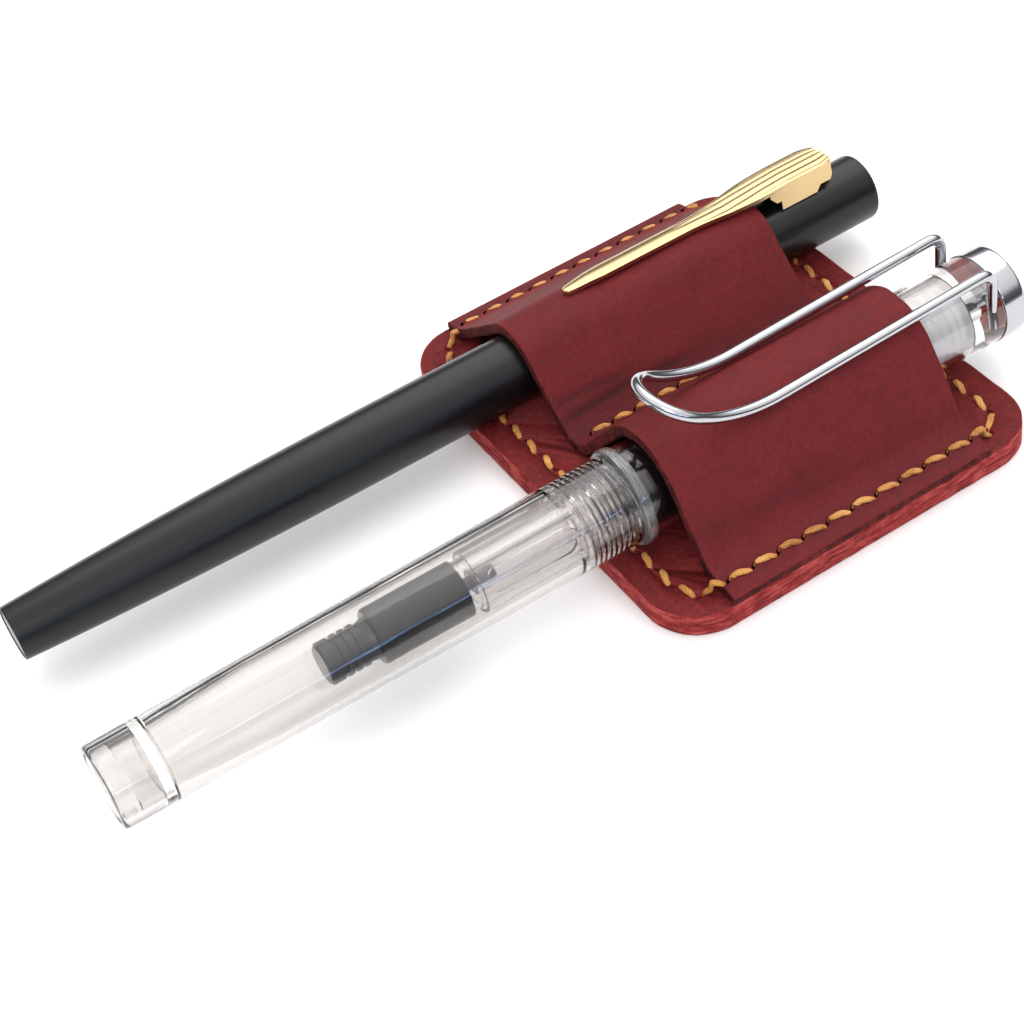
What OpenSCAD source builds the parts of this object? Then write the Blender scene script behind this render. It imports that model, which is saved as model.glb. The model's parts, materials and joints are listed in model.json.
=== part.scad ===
// Leather case with two sewn loops, holding a black fountain pen and a clear one.
// X runs across the two pens, Y along them towards their caps, Z up.
// The origin is the centre of the case's underside.

/* [Case] */
// Width of the leather backing, across the pens
case_w = 72; // [68:1:80]
// Length of the leather backing, along the pens
case_l = 60.5; // [60:0.5:66]
// Corner radius of the backing
case_r = 8; // [5:0.5:12]
// Thickness of each backing layer
layer_t = 1.75; // [1.5:0.05:2]
// Thickness of the loop panel
panel_t = 1.6; // [1.2:0.1:1.8]
// Lower edge of the loop panel, along the pens
panel_y0 = -22; // [-22.5:0.1:-21.8]
// Upper edge of the loop panel, along the pens
panel_y1 = 20.5; // [20.3:0.1:21]
// Distance of the stitch line from the backing's long edges
stitch_inset = 3; // [2.5:0.5:4]
// Distance of the stitch line from the backing's ends
end_inset = 4.25; // [4:0.25:5]

/* [Black pen] */
// Distance of the black pen's axis from the case's middle
black_x = -16; // [-17:0.5:-15]
// Radius of the black pen's cap
black_r = 5.1; // [4.9:0.05:5.1]
// Radius of the black pen's far end
black_tail_r = 3.87; // [3.8:0.05:4.3]
// Top of the black pen's cap
black_top_y = 39.7; // [39:0.1:41]
// Far end of the black pen's barrel
black_tail_y = -100.1; // [-104:0.1:-99]
// Turn of the gold clip about the pen's axis, in degrees
gold_clip_turn = -9; // [-12:1:0]

/* [Clear pen] */
// Distance of the clear pen's axis from the case's middle
clear_x = 16.6; // [16:0.1:17]
// Radius of the clear pen's cap
clear_r = 6.5; // [6.4:0.05:6.6]
// Radius of the bead round the clear cap's lip
lip_r = 6.95; // [6.7:0.05:7]
// Radius of the clear barrel's far end
clear_tail_r = 5.7; // [5.5:0.1:6]
// Far end of the clear pen's barrel
clear_tail_y = -101.2; // [-105:0.1:-100]
// Radius of the wire clip's wire
wire_r = 0.8; // [0.6:0.05:0.8]

/* [Hidden] */
$fn = 64;

// Case
case_top = 2 * layer_t;
loop_slack = 0.35;
lip_slack = 0.2;
base_slack = 0.3;
black_z = case_top + black_r + base_slack;
clear_z = case_top + lip_r + 0.1;
black_loop_r = black_r + loop_slack;
clear_loop_r = lip_r + lip_slack;
black_foot_out = 16.2;
black_foot_in = 12.8;
clear_foot_in = 15.8;
clear_foot_out = 12.9;
seam_x = -1.2;

// Stitching
hole_r = 0.5;
thread_leg_r = 0.28;
thread_w = 0.5;
thread_t = 0.5;
groove_w = 1.8;
groove_t = 0.7;
top_groove_t = 0.5;
line_a = case_w / 2 - stitch_inset;
line_b = case_l / 2 - end_inset;
line_r = case_r - stitch_inset;
side_first_y = -20.75;
side_pitch = 4;
side_count = 10;
end_count = 9;
half_count = 2 * end_count + side_count;
seam_first_y = -19;
seam_pitch = 3.7;
seam_count = 10;

// Black pen
black_lip_y = -19.5;
black_joint_y = -19.6;
black_bore_r = 4.45;
black_taper_y = -45;
black_taper_power = 2.2;
black_taper_steps = 12;
clip_in = black_loop_r + panel_t + 0.6;
clip_t = 0.8;
clip_root_y = 33.2;
clip_tip_y = -11.5;
clip_end_y = 34;

// Clear pen
clear_lip_y = -25.9;
clear_top_y = 34;
clear_bore_r = 5.7;
clear_joint_y = -26.05;
finial_r = 6.65;
finial_top_y = 37.8;
leg_x = 5.25;
leg_y = 32.4;
leg_hole_r = 1.05;
leg_low_z = clear_z - 0.35;
bend_r = 1.9;
wire_top_z = clear_z + 9.2;
wire_dip_y = -3.5;
wire_dip = 1;
wire_kick = 34;
wire_kick_r = 22;
wire_run_on = 0.7;

// ---- Shared shapes ----

// A shape turned about a pen's axis: its points are [radius, place along Y].
module turned(x, z, points) {
    translate([x, 0, z]) rotate([-90, 0, 0]) rotate_extrude() polygon(points);
}

// A straight rod along Y.
module rod(x, z, y0, y1, r) {
    translate([x, y0, z]) rotate([-90, 0, 0]) cylinder(h = y1 - y0, r = r);
}

// A slab with a rounded rectangle's outline, half_w by half_l from its middle.
module rounded_slab(half_w, half_l, r, z0, h) {
    w = half_w - r;
    l = half_l - r;
    translate([0, 0, z0]) {
        translate([-half_w, -l, 0]) cube([2 * half_w, 2 * l, h]);
        translate([-w, -half_l, 0]) cube([2 * w, 2 * half_l, h]);
        for (sx = [-1, 1], sy = [-1, 1]) translate([sx * w, sy * l, 0]) cylinder(h = h, r = r);
    }
}

// A point on the right half of the stitch line, s mm from the middle of its lower end.
function line_point(s) =
    let(w = line_a - line_r, h = 2 * (line_b - line_r), c = PI * line_r / 2)
    s < w ? [s, -line_b] :
    s < w + c ? let(t = (s - w) / line_r * 180 / PI - 90)
        [w + line_r * cos(t), -h / 2 + line_r * sin(t)] :
    s < w + c + h ? [line_a, -h / 2 + s - w - c] :
    s < w + 2 * c + h ? let(t = (s - w - c - h) / line_r * 180 / PI)
        [w + line_r * cos(t), h / 2 + line_r * sin(t)] :
    [2 * w + 2 * c + h - s, line_b];

line_half = 2 * (line_a - line_r) + PI * line_r + 2 * (line_b - line_r);
side_start = (line_a - line_r) + PI * line_r / 2 + side_first_y + (line_b - line_r);
side_end = side_start + side_count * side_pitch;

// Distance along the half line of stitch hole k.
function hole_s(k) =
    k <= end_count ? side_start * k / end_count :
    k <= end_count + side_count ? side_start + (k - end_count) * side_pitch :
    side_end + (line_half - side_end) * (k - end_count - side_count) / end_count;

half_holes = [for (k = [0:half_count]) line_point(hole_s(k))];
seam_holes = [for (k = [0:seam_count]) [seam_x, seam_first_y + k * seam_pitch]];

// Height of the thread at a stitch hole: on the loop panel along the sides, in the groove elsewhere.
function under_panel(p) = abs(p[0]) > line_a - 1.5 && p[1] > panel_y0 && p[1] < panel_y1;
function leather_z(p) = under_panel(p) ? case_top + panel_t : case_top - top_groove_t;

module perimeter_holes() {
    for (side = [-1, 1], k = [0:half_count])
        if (side > 0 || (k > 0 && k < half_count))
            translate([side * half_holes[k][0], half_holes[k][1], -1]) cylinder(h = 30, r = hole_r);
}

module seam_hole_row() {
    for (p = seam_holes) translate([p[0], p[1], -1]) cylinder(h = 8, r = hole_r);
}

// A flat strand of thread between two points, lying on the lower of its faces.
module strand(a, b) {
    d = b - a;
    flat = norm([d[0], d[1]]);
    translate(a) rotate([0, 0, atan2(d[1], d[0])]) rotate([0, -atan2(d[2], flat), 0])
        translate([0, -thread_w / 2, 0]) cube([norm(d), thread_w, thread_t]);
}

// One stitch on top of the leather, stepping down past the panel's edge where it crosses it.
module top_stitch(a, b) {
    za = leather_z(a);
    zb = leather_z(b);
    if (za == zb) strand([a[0], a[1], za], [b[0], b[1], zb]);
    else {
        hi = za > zb ? a : b;
        lo = za > zb ? b : a;
        edge = hi[1] > 0 ? panel_y1 + 0.3 : panel_y0 - 0.3;
        f = (edge - hi[1]) / (lo[1] - hi[1]);
        knee = [hi[0] + f * (lo[0] - hi[0]), edge, max(za, zb)];
        strand([hi[0], hi[1], max(za, zb)], knee);
        strand(knee, [lo[0], lo[1], min(za, zb)]);
    }
}

module stitch_legs(p, top) {
    translate([p[0], p[1], groove_t - thread_t - 0.1])
        cylinder(h = top + thread_t - groove_t + thread_t + 0.1, r = thread_leg_r);
}

// Inside or outside of one loop, as a tent: a round top with a flat side down to each foot.
module tent(x, z, r, foot_l, foot_r, below, past) {
    pl = [x - foot_l, case_top];
    pr = [x + foot_r, case_top];
    c = [x, z];
    dl = norm(c - pl);
    dr = norm(c - pr);
    al = atan2(z - pl[1], x - pl[0]) + asin(r / dl);
    ar = atan2(z - pr[1], pr[0] - x) + asin(r / dr);
    tl = pl + sqrt(dl * dl - r * r) * [cos(al), sin(al)];
    tr = pr + sqrt(dr * dr - r * r) * [-cos(ar), sin(ar)];
    translate([0, panel_y1 + past, 0]) rotate([90, 0, 0])
        linear_extrude(panel_y1 - panel_y0 + 2 * past)
            polygon([[pl[0], case_top - below], pl, tl, c, tr, pr, [pr[0], case_top - below]]);
    rod(x, z, panel_y0 - past, panel_y1 + past, r);
}

// How far a side's outer foot stands out from its inner foot, for a panel of even thickness.
function foot_step(dx, dz, r) =
    panel_t / sin(atan2(dz, dx) + asin(r / norm([dx, dz])));

module loop_outside(x, z, r, foot_l, foot_r) {
    tent(x, z, r + panel_t, foot_l + foot_step(foot_l, z - case_top, r),
        foot_r + foot_step(foot_r, z - case_top, r), 0.5, 0);
}

// ---- Case ----

// A ring round the stitch line, cut out of a layer so that the thread lies below its face.
module line_groove(z, h) {
    g = groove_w / 2;
    difference() {
        rounded_slab(line_a + g, line_b + g, line_r + g, z, h);
        rounded_slab(line_a - g, line_b - g, line_r - g, z - 1, h + 2);
    }
}

module back_layer() {
    g = groove_w / 2;
    color("#5a2226") difference() {
        rounded_slab(case_w / 2, case_l / 2, case_r, 0, layer_t);
        perimeter_holes();
        seam_hole_row();
        line_groove(-1, groove_t + 1);
        translate([seam_x - g, seam_first_y - g, -1])
            cube([groove_w, seam_count * seam_pitch + groove_w, groove_t + 1]);
    }
}

module front_layer() {
    color("#6a2529") difference() {
        rounded_slab(case_w / 2, case_l / 2, case_r, layer_t, layer_t);
        perimeter_holes();
        seam_hole_row();
        line_groove(case_top - top_groove_t, top_groove_t + 1);
    }
}

module loop_panel() {
    color("#76292e") difference() {
        intersection() {
            union() {
                translate([-case_w / 2, panel_y0, case_top])
                    cube([case_w, panel_y1 - panel_y0, panel_t]);
                loop_outside(black_x, black_z, black_loop_r, black_foot_out, black_foot_in);
                loop_outside(clear_x, clear_z, clear_loop_r, clear_foot_in, clear_foot_out);
            }
            translate([-case_w / 2, panel_y0 - 1, case_top]) cube([case_w, case_l, 30]);
        }
        tent(black_x, black_z, black_loop_r, black_foot_out, black_foot_in, 2, 1);
        tent(clear_x, clear_z, clear_loop_r, clear_foot_in, clear_foot_out, 2, 1);
        perimeter_holes();
        seam_hole_row();
    }
}

module perimeter_thread() {
    color("#d9973a") for (side = [-1, 1]) for (k = [0:half_count]) {
        p = [side * half_holes[k][0], half_holes[k][1]];
        if (side > 0 || (k > 0 && k < half_count)) stitch_legs(p, leather_z(p));
        if (k > 0) {
            q = [side * half_holes[k - 1][0], half_holes[k - 1][1]];
            top_stitch(q, p);
            low = groove_t - thread_t - 0.1;
            strand([q[0], q[1], low], [p[0], p[1], low]);
        }
    }
}

module centre_thread() {
    top = case_top + panel_t;
    low = groove_t - thread_t - 0.1;
    last = seam_first_y + seam_count * seam_pitch;
    color("#d9973a") {
        for (p = seam_holes) stitch_legs(p, top);
        strand([seam_x, seam_first_y, top], [seam_x, last, top]);
        strand([seam_x, seam_first_y, low], [seam_x, last, low]);
    }
}

// ---- Parts that both pens have ----

// A nib: a curved blade with tapering shoulders, a slit and a breather hole.
module nib(x, z, r, y0, y1) {
    t = 0.3;
    shoulder = y1 - 11;
    difference() {
        intersection() {
            difference() {
                rod(x, z, y0, y1, r);
                rod(x, z, y0 - 1, y1 + 1, r - t);
            }
            translate([x, 0, z]) linear_extrude(r + 1)
                polygon([[-r, y0], [r, y0], [r, shoulder], [r * 0.75, shoulder + 3],
                    [0.35, y1], [-0.35, y1], [-r * 0.75, shoulder + 3], [-r, shoulder]]);
        }
        translate([x, shoulder - 1, z]) cylinder(h = r + 1, r = 0.5);
        translate([x - 0.06, shoulder - 1, z]) cube([0.12, 30, r + 1]);
    }
}

// A feed: a round plug with a nipple behind and a finned half-round tongue in front.
module feed(x, z, r, y_back, y_face, y_tip) {
    fin = 0.5;
    difference() {
        union() {
            rod(x, z, y_back, y_face, r);
            rod(x, z, y_back - 3, y_back + 1, 0.8);
            intersection() {
                turned(x, z, [[0, y_face - 1], [r, y_face - 1], [r, y_face + 4],
                    [r * 0.45, y_tip], [0, y_tip]]);
                translate([x - r, y_face - 1, z - r]) cube([2 * r, y_tip - y_face + 2, r + 0.6]);
            }
        }
        for (y = [y_face + 1:2 * fin:y_face + 7]) difference() {
            translate([x - r - 1, y, z - r - 1]) cube([2 * r + 2, fin, r]);
            rod(x, z, y - 1, y + 2, r - 0.9);
        }
    }
}

// ---- Black pen ----

module black_cap_tube() {
    color("#1d1b1e") difference() {
        turned(black_x, black_z, [[0, 34.5], [black_bore_r, 34.5], [black_bore_r, black_lip_y],
            [black_r, black_lip_y], [black_r, black_top_y - 0.3], [black_r - 0.3, black_top_y],
            [4.65, black_top_y], [4.65, 38.2], [0, 38.2]]);
        // Slot for the clip's tang
        translate([black_x, 0, black_z]) rotate([0, gold_clip_turn, 0])
            translate([-1.4, clip_root_y - 1, 3]) cube([2.8, 2, 4]);
    }
}

module black_inner_cap() {
    color("#2a2a2c") turned(black_x, black_z, [[0, 29.7], [3.9, 29.7], [3.9, -1], [4.4, -1],
        [4.4, 30.5], [0, 30.5]]);
}

module black_crown() {
    color("#232125") turned(black_x, black_z, [[0, 38.2], [4.6, 38.2], [4.6, 39.3], [4.3, 39.6],
        [0, 39.6]]);
}

module gold_clip() {
    head_w = 3.3;
    arm_w = 1.35;
    wall = 0.5;
    color("#d8b36a") translate([black_x, 0, black_z]) rotate([0, gold_clip_turn, 0]) {
        // Blade
        translate([0, 0, clip_in]) linear_extrude(clip_t) {
            polygon([[-0.6, clip_tip_y + 0.7], [0.6, clip_tip_y + 0.7], [arm_w, -6], [arm_w + 0.2, 11],
                [head_w, 22.5], [head_w, 32], [head_w - 0.8, clip_end_y], [-head_w + 0.8, clip_end_y],
                [-head_w, 32], [-head_w, 22.5], [-arm_w - 0.2, 11], [-arm_w, -6]]);
            translate([0, clip_tip_y + 0.7]) circle(r = 0.7);
        }
        // Folded sides of the head
        for (s = [-1, 1]) translate([s * (head_w - wall / 2), 0, 0]) {
            translate([-wall / 2, 23.4, 5.6]) cube([wall, 8.6, clip_in + clip_t / 2 - 5.6]);
            translate([-wall / 2, 23.8, 4.4]) cube([wall, 5.8, 1.4]);
        }
        // Folded end and its tang
        translate([-head_w + 0.9, clip_root_y, 5.5])
            cube([2 * head_w - 1.8, clip_end_y - clip_root_y, clip_in + clip_t / 2 - 5.5]);
        translate([-1.2, clip_root_y - 0.6, 3.5]) cube([2.4, 1.2, 2.5]);
    }
}

module black_grip() {
    color("#18171a") turned(black_x, black_z, [[2.95, -2], [2.95, -16], [2.6, -16], [2.6, -21],
        [3.25, -21], [3.25, -29], [3.9, -29], [3.9, -18.6], [4.25, -18.6], [4.0, -12], [3.5, -5],
        [3.7, -2.6], [3.6, -2]]);
}

module black_trim_ring() {
    color("#d8b36a") turned(black_x, black_z, [[3.93, black_lip_y], [4.3, black_lip_y],
        [4.3, -18.7], [3.93, -18.7]]);
}

module black_feed() {
    color("#141416") feed(black_x, black_z, 2.55, -20.5, -2, 18);
}

module black_nib() {
    color("#d9c08a") nib(black_x, black_z, 2.9, -12, 20.5);
}

// Radius of the black barrel: straight, then closing faster towards its end.
function barrel_r(y) = y > black_taper_y ? black_r : black_r - (black_r - black_tail_r)
    * pow((black_taper_y - y) / (black_taper_y - black_tail_y), black_taper_power);

module black_barrel_tube() {
    step = (black_taper_y - black_tail_y - 0.3) / black_taper_steps;
    color("#1d1b1e") turned(black_x, black_z, concat(
        [[4.0, black_joint_y], [black_r, black_joint_y]],
        [for (i = [0:black_taper_steps])
            [barrel_r(black_taper_y - i * step), black_taper_y - i * step]],
        [[barrel_r(black_tail_y) - 0.25, black_tail_y], [3.5, black_tail_y], [3.5, black_tail_y + 1.4],
            [1.6, black_tail_y + 1.4], [1.6, -90], [3.6, -84], [3.6, -30], [4.0, -30]]));
}

module black_end_plug() {
    color("#cfc8bf") turned(black_x, black_z, [[0, black_tail_y + 0.1], [3.45, black_tail_y + 0.1],
        [3.45, black_tail_y + 1.4], [1.5, black_tail_y + 1.4], [1.5, -93], [0, -93]]);
}

module ink_cartridge() {
    color("#2c3a5e") turned(black_x, black_z, [[1, -21.4], [1.7, -21.4], [1.7, -24.5], [3.1, -26],
        [3.1, -62], [0, -62], [0, -61], [2.7, -61], [2.7, -26.4], [1, -25]]);
}

// ---- Clear pen ----

module clear_cap_tube() {
    color("#e6eaec", 0.4) difference() {
        turned(clear_x, clear_z, [[1.6, 29], [clear_bore_r, 29], [clear_bore_r, clear_lip_y],
            [lip_r - 0.3, clear_lip_y], [lip_r, clear_lip_y + 0.3], [lip_r, clear_lip_y + 1.2],
            [lip_r - 0.3, clear_lip_y + 1.5], [clear_r, clear_lip_y + 1.5],
            [clear_r, clear_top_y], [1.6, clear_top_y]]);
        for (s = [-1, 1]) translate([clear_x + s * leg_x, leg_y, leg_low_z - 0.7])
            cylinder(h = 10, r = leg_hole_r);
    }
}

module clear_inner_cap() {
    groove = [for (y = [20:1.3:27]) each [[5.6, y], [5.35, y + 0.2], [5.35, y + 0.7], [5.6, y + 0.9]]];
    color("#dfe4e6", 0.4) turned(clear_x, clear_z, concat([[5, 0], [5.6, 0]], groove,
        [[5.6, 28.9], [1.6, 28.9], [1.6, 28], [5, 28]]));
}

module chrome_finial() {
    color("#c4c6ca") turned(clear_x, clear_z, [[0, 36], [1.55, 36], [1.55, clear_top_y],
        [finial_r - 0.2, clear_top_y], [finial_r, clear_top_y + 0.2], [finial_r, finial_top_y - 0.7],
        [finial_r - 0.2, finial_top_y - 0.2], [finial_r - 0.7, finial_top_y], [0, finial_top_y]]);
}

module finial_screw() {
    color("#9a9ca0") turned(clear_x, clear_z, [[0, 26.8], [2.8, 26.8], [2.8, 28], [1.5, 28],
        [1.5, 35.9], [0, 35.9]]);
}

module wire_clip() {
    dip_z = wire_top_z - wire_dip;
    run = leg_y - bend_r - wire_dip_y;
    slope = atan2(wire_dip, run);
    bow_y = wire_dip_y - wire_kick_r * sin(wire_kick);
    bow_z = dip_z + wire_kick_r * (1 - cos(wire_kick));
    color("#c9cbce") translate([clear_x, 0, 0]) {
        for (s = [-1, 1]) translate([s * leg_x, 0, 0]) {
            // Leg, in the cap's hole
            translate([0, leg_y, leg_low_z]) cylinder(h = wire_top_z - bend_r - leg_low_z, r = wire_r);
            // Bend
            translate([0, leg_y - bend_r, wire_top_z - bend_r]) rotate([90, 0, 90])
                rotate_extrude(angle = 90) translate([bend_r, 0]) circle(r = wire_r);
            // Long side, dipping towards the leather
            translate([0, wire_dip_y, dip_z]) rotate([-90 + slope, 0, 0])
                cylinder(h = run / cos(slope), r = wire_r - 0.01);
            translate([0, wire_dip_y, dip_z]) sphere(r = wire_r);
            // End of the side, curving up
            translate([0, wire_dip_y, dip_z + wire_kick_r]) rotate([90, 0, 90])
                rotate([0, 0, -90 - wire_kick - wire_run_on]) rotate_extrude(angle = wire_kick + wire_run_on)
                    translate([wire_kick_r, 0]) circle(r = wire_r - 0.03);
        }
        // Bow that joins the two sides
        translate([0, bow_y, bow_z]) rotate([-wire_kick, 0, 0])
            rotate([0, 0, 180]) rotate_extrude(angle = 180) translate([leg_x, 0])
                circle(r = wire_r - 0.02);
    }
}

module clear_grip() {
    thread = [for (y = [-24.6:1.1:-20.5]) each [[5.4, y], [5.4, y + 0.4], [5.1, y + 0.6], [5.1, y + 0.9]]];
    color("#17171a") turned(clear_x, clear_z, concat([[4.55, -25.1], [5.4, -25.1]], thread,
        [[4.9, -19], [4.4, -10], [4.2, -5], [4.5, -2.6], [4.4, -2], [3.4, -2], [3.4, -16], [2.9, -16],
            [2.9, -21.8], [4.55, -21.8]]));
}

module clear_collar() {
    thread = [for (y = [-27:-1.1:-32.6]) each [[5.25, y], [5.25, y - 0.4], [4.95, y - 0.6],
        [4.95, y - 0.9]]];
    color("#dfe4e6", 0.4) difference() {
        turned(clear_x, clear_z, concat([[3.7, -22], [4.5, -22], [4.5, -26.2], [5.25, -26.2]], thread,
            [[4.95, -34.2], [4.4, -34.2], [4.4, -49], [3.9, -49], [3.9, -34], [3.7, -34]]));
        // Oblong windows in the collar's sleeve
        for (turn = [60, 240]) translate([clear_x, 0, clear_z]) rotate([0, turn, 0])
            linear_extrude(6) {
                translate([-1.6, -46.4]) square([3.2, 9.8]);
                translate([0, -46.4]) circle(r = 1.6);
                translate([0, -36.6]) circle(r = 1.6);
            }
    }
}

module section_o_ring() {
    color("#1b1b1b") translate([clear_x, -25.58, clear_z]) rotate([-90, 0, 0]) rotate_extrude()
        translate([5.0, 0]) circle(r = 0.38, $fn = 24);
}

module clear_feed() {
    color("#111113") feed(clear_x, clear_z, 2.85, -20.5, -2, 18.5);
}

module clear_nib() {
    color("#c9ccd0") nib(clear_x, clear_z, 3.3, -12, 21.5);
}

module clear_barrel_tube() {
    front_r = 6.3;
    thread = [for (y = [-33:1.1:-27]) each [[5.4, y], [5.6, y + 0.2], [5.6, y + 0.5], [5.4, y + 0.7]]];
    color("#e6eaec", 0.4) turned(clear_x, clear_z, concat(
        [[front_r - 0.15, clear_joint_y], [front_r, clear_joint_y - 0.15],
            [clear_tail_r, clear_tail_y + 0.5], [clear_tail_r - 0.5, clear_tail_y],
            [4.75, clear_tail_y], [4.75, -95.2], [0, -95.2], [0, -93.8], [4.1, -93.8],
            [5.0, -80], [5.05, -34.6], [5.4, -34.2]],
        thread, [[5.4, clear_joint_y]]));
}

module clear_barrel_plug() {
    color("#dfe4e6", 0.4) turned(clear_x, clear_z, [[0, clear_tail_y + 0.4], [4.3, clear_tail_y + 0.4],
        [4.7, clear_tail_y + 0.8], [4.7, -95.25], [3.9, -95.25], [3.9, -98.4], [0, -98.4]]);
}

module converter_tube() {
    color("#e0e4e6", 0.4) turned(clear_x, clear_z, [[1.1, -24.5], [2.6, -24.5], [3.5, -26.5],
        [3.5, -52.4], [3.0, -52.4], [3.0, -27.6], [1.1, -26.2]]);
}

module converter_sleeve() {
    color("#1a1a1c") turned(clear_x, clear_z, [[3.52, -50.7], [3.9, -50.7], [3.9, -63.3], [3.6, -63.6],
        [1.1, -63.6], [1.1, -62.4], [2.2, -62.4], [2.2, -52.5], [3.52, -52.5]]);
}

module converter_knob() {
    ring = [for (y = [-69.6:1.2:-65]) each [[2.9, y], [2.9, y + 0.7], [2.65, y + 0.8], [2.65, y + 1.1]]];
    color("#4b4b50") turned(clear_x, clear_z, concat([[0, -70.8], [2.6, -70.8], [2.9, -70.5]], ring,
        [[2.9, -63.75], [0.95, -63.75], [0.95, -45.8], [0, -45.8]]));
}

module converter_piston() {
    color("#3a3a3e") turned(clear_x, clear_z, [[0, -31], [2.5, -31], [2.85, -31.4], [2.85, -32.6],
        [2.5, -33], [1.8, -33.4], [1.8, -49], [1.1, -49], [1.1, -33.2], [0, -33.2]]);
}

back_layer();
front_layer();
loop_panel();
perimeter_thread();
centre_thread();
black_cap_tube();
black_inner_cap();
black_crown();
gold_clip();
black_grip();
black_trim_ring();
black_feed();
black_nib();
black_barrel_tube();
black_end_plug();
ink_cartridge();
clear_cap_tube();
clear_inner_cap();
chrome_finial();
finial_screw();
wire_clip();
clear_grip();
clear_collar();
section_o_ring();
clear_feed();
clear_nib();
clear_barrel_tube();
clear_barrel_plug();
converter_tube();
converter_sleeve();
converter_knob();
converter_piston();
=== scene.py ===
import json
import math

import bmesh
import bpy
from mathutils import Matrix, Vector, noise


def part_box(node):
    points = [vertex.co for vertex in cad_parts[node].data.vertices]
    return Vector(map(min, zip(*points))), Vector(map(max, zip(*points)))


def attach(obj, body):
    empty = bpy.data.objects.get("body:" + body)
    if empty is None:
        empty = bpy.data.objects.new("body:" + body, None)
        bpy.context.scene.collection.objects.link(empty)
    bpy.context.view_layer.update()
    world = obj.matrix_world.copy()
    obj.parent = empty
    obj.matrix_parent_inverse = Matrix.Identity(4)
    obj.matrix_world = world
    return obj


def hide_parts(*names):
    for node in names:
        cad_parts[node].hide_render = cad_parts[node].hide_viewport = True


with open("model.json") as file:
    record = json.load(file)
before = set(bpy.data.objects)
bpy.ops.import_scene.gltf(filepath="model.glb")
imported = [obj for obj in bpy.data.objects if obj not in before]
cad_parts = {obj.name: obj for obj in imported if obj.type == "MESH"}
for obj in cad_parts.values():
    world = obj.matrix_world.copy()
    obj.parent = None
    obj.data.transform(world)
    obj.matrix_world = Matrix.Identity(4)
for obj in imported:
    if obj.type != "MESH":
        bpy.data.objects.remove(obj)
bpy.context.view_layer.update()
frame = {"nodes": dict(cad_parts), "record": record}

# ---- Leather backing ----
# Two layers of vegetable-tanned leather, dyed through and waxed on the outside, cut to one
# rounded rectangle and glued back to back. The saw-cut edge is left rough, so its fibres show.


MM = 0.001
PER_METRE = 1000


def box_mm(node):
    """Lowest and highest corner of a CAD node, in millimetres."""
    low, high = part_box(node)
    return low * PER_METRE, high * PER_METRE


def wire_up(nt, shader_input, output):
    nt.links.new(output, shader_input)


def new_material(name):
    """A material's node tree and its Principled shader."""
    material = bpy.data.materials.new(name)
    material.use_nodes = True
    nt = material.node_tree
    return material, nt, nt.nodes["Principled BSDF"]


def add_node(nt, kind, settings=None, **values):
    """Adds a shader node. Settings are its properties; values set sockets, or link them to a socket."""
    node = nt.nodes.new("ShaderNode" + kind)
    for key, value in (settings or {}).items():
        setattr(node, key, value)
    for key, value in values.items():
        socket = node.inputs[key.replace("_", " ")]
        if isinstance(value, bpy.types.NodeSocket):
            nt.links.new(value, socket)
        else:
            socket.default_value = value
    return node


def srgb(code, alpha=1.0):
    """A hex colour as a linear one."""
    parts = [int(code[i:i + 2], 16) / 255 for i in (0, 2, 4)]
    return tuple(p / 12.92 if p <= 0.04045 else ((p + 0.055) / 1.055) ** 2.4 for p in parts) + (alpha,)


def ramp(nt, value, *stops):
    """A colour ramp over a value: each stop is a place and a colour."""
    node = add_node(nt, "ValToRGB", Fac=value)
    stop = node.color_ramp.elements
    while len(stop) < len(stops):
        stop.new(0.5)
    for element, (place, colour) in zip(stop, stops):
        element.position = place
        element.color = colour
    return node.outputs["Color"]


def hide_grain_group():
    """Height and mottling of dyed hide: pebbled pores, fine fibre and slow patches of darker dye."""
    group = bpy.data.node_groups.new("hide_grain", "ShaderNodeTree")
    face = group.interface
    face.new_socket("Pore Size", in_out="INPUT", socket_type="NodeSocketFloat").default_value = 0.45
    face.new_socket("Height", in_out="OUTPUT", socket_type="NodeSocketFloat")
    face.new_socket("Mottle", in_out="OUTPUT", socket_type="NodeSocketFloat")
    start = group.nodes.new("NodeGroupInput")
    end = group.nodes.new("NodeGroupOutput")
    place = add_node(group, "TexCoord").outputs["Object"]
    per_pore = add_node(group, "Math", {"operation": "DIVIDE"})
    per_pore.inputs[0].default_value = PER_METRE
    group.links.new(start.outputs["Pore Size"], per_pore.inputs[1])
    pores = add_node(group, "TexVoronoi", {"feature": "SMOOTH_F1"}, Vector=place,
                     Scale=per_pore.outputs[0], Smoothness=0.6)
    fibre = add_node(group, "TexNoise", Vector=place, Scale=2600, Detail=3, Roughness=0.65)
    patch = add_node(group, "TexNoise", Vector=place, Scale=150, Detail=5, Roughness=0.62)
    speck = add_node(group, "TexNoise", Vector=place, Scale=1500, Detail=2, Roughness=0.6)
    height = add_node(group, "Math", {"operation": "MULTIPLY_ADD"})
    group.links.new(pores.outputs["Distance"], height.inputs[0])
    height.inputs[1].default_value = 0.6
    group.links.new(fibre.outputs["Fac"], height.inputs[2])
    mottle = add_node(group, "Mix", {"data_type": "FLOAT"}, Factor=0.6)
    group.links.new(patch.outputs["Fac"], mottle.inputs["A"])
    group.links.new(speck.outputs["Fac"], mottle.inputs["B"])
    group.links.new(height.outputs[0], end.inputs["Height"])
    group.links.new(mottle.outputs["Result"], end.inputs["Mottle"])
    return group


hide_grain = hide_grain_group()


def add_group(nt, group, **values):
    node = nt.nodes.new("ShaderNodeGroup")
    node.node_tree = group
    for key, value in values.items():
        node.inputs[key.replace("_", " ")].default_value = value
    return node


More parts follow.
